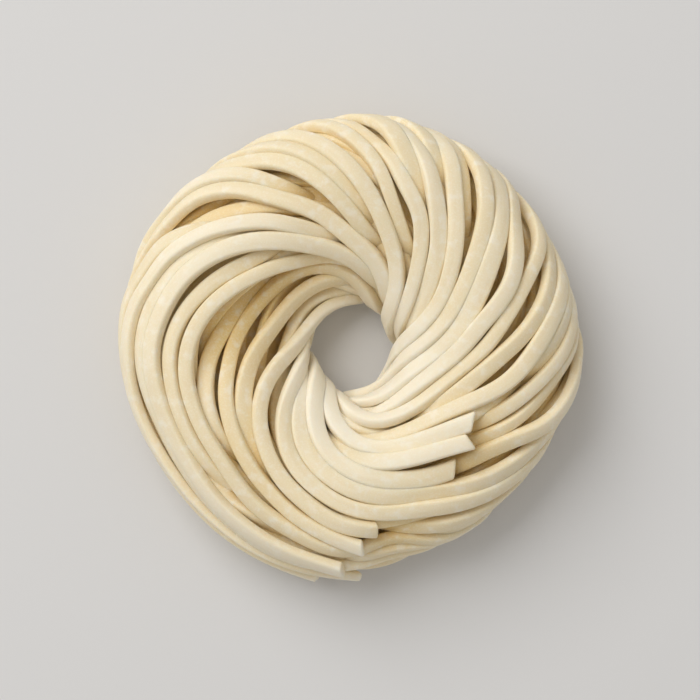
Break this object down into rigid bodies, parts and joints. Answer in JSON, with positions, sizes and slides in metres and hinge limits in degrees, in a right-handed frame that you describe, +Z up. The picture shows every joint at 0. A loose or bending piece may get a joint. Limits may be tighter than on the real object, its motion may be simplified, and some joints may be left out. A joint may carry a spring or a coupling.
{
  "type": "bundle of dried udon noodles",
  "caption": "Dried udon noodles laid side by side, twisted into a skein and curled into a round nest with a small open eye in its middle.",
  "frame": {"origin": "middle of the nest seen from above, within a millimetre of the middle of its open eye, on the plane that it lies on", "axes": "+Z up out of the nest, +X to the right and +Y to the top of the view from straight above"},
  "size_m": [0.102, 0.1042, 0.0277],
  "materials": {
    "dried_noodle": "matt, faintly translucent cream wheat dough with fine lengthwise grain and a dusting of flour"
  },
  "bodies": {
    "root": {"udon_bundle": "dried_noodle"}
  },
  "joints": []
}
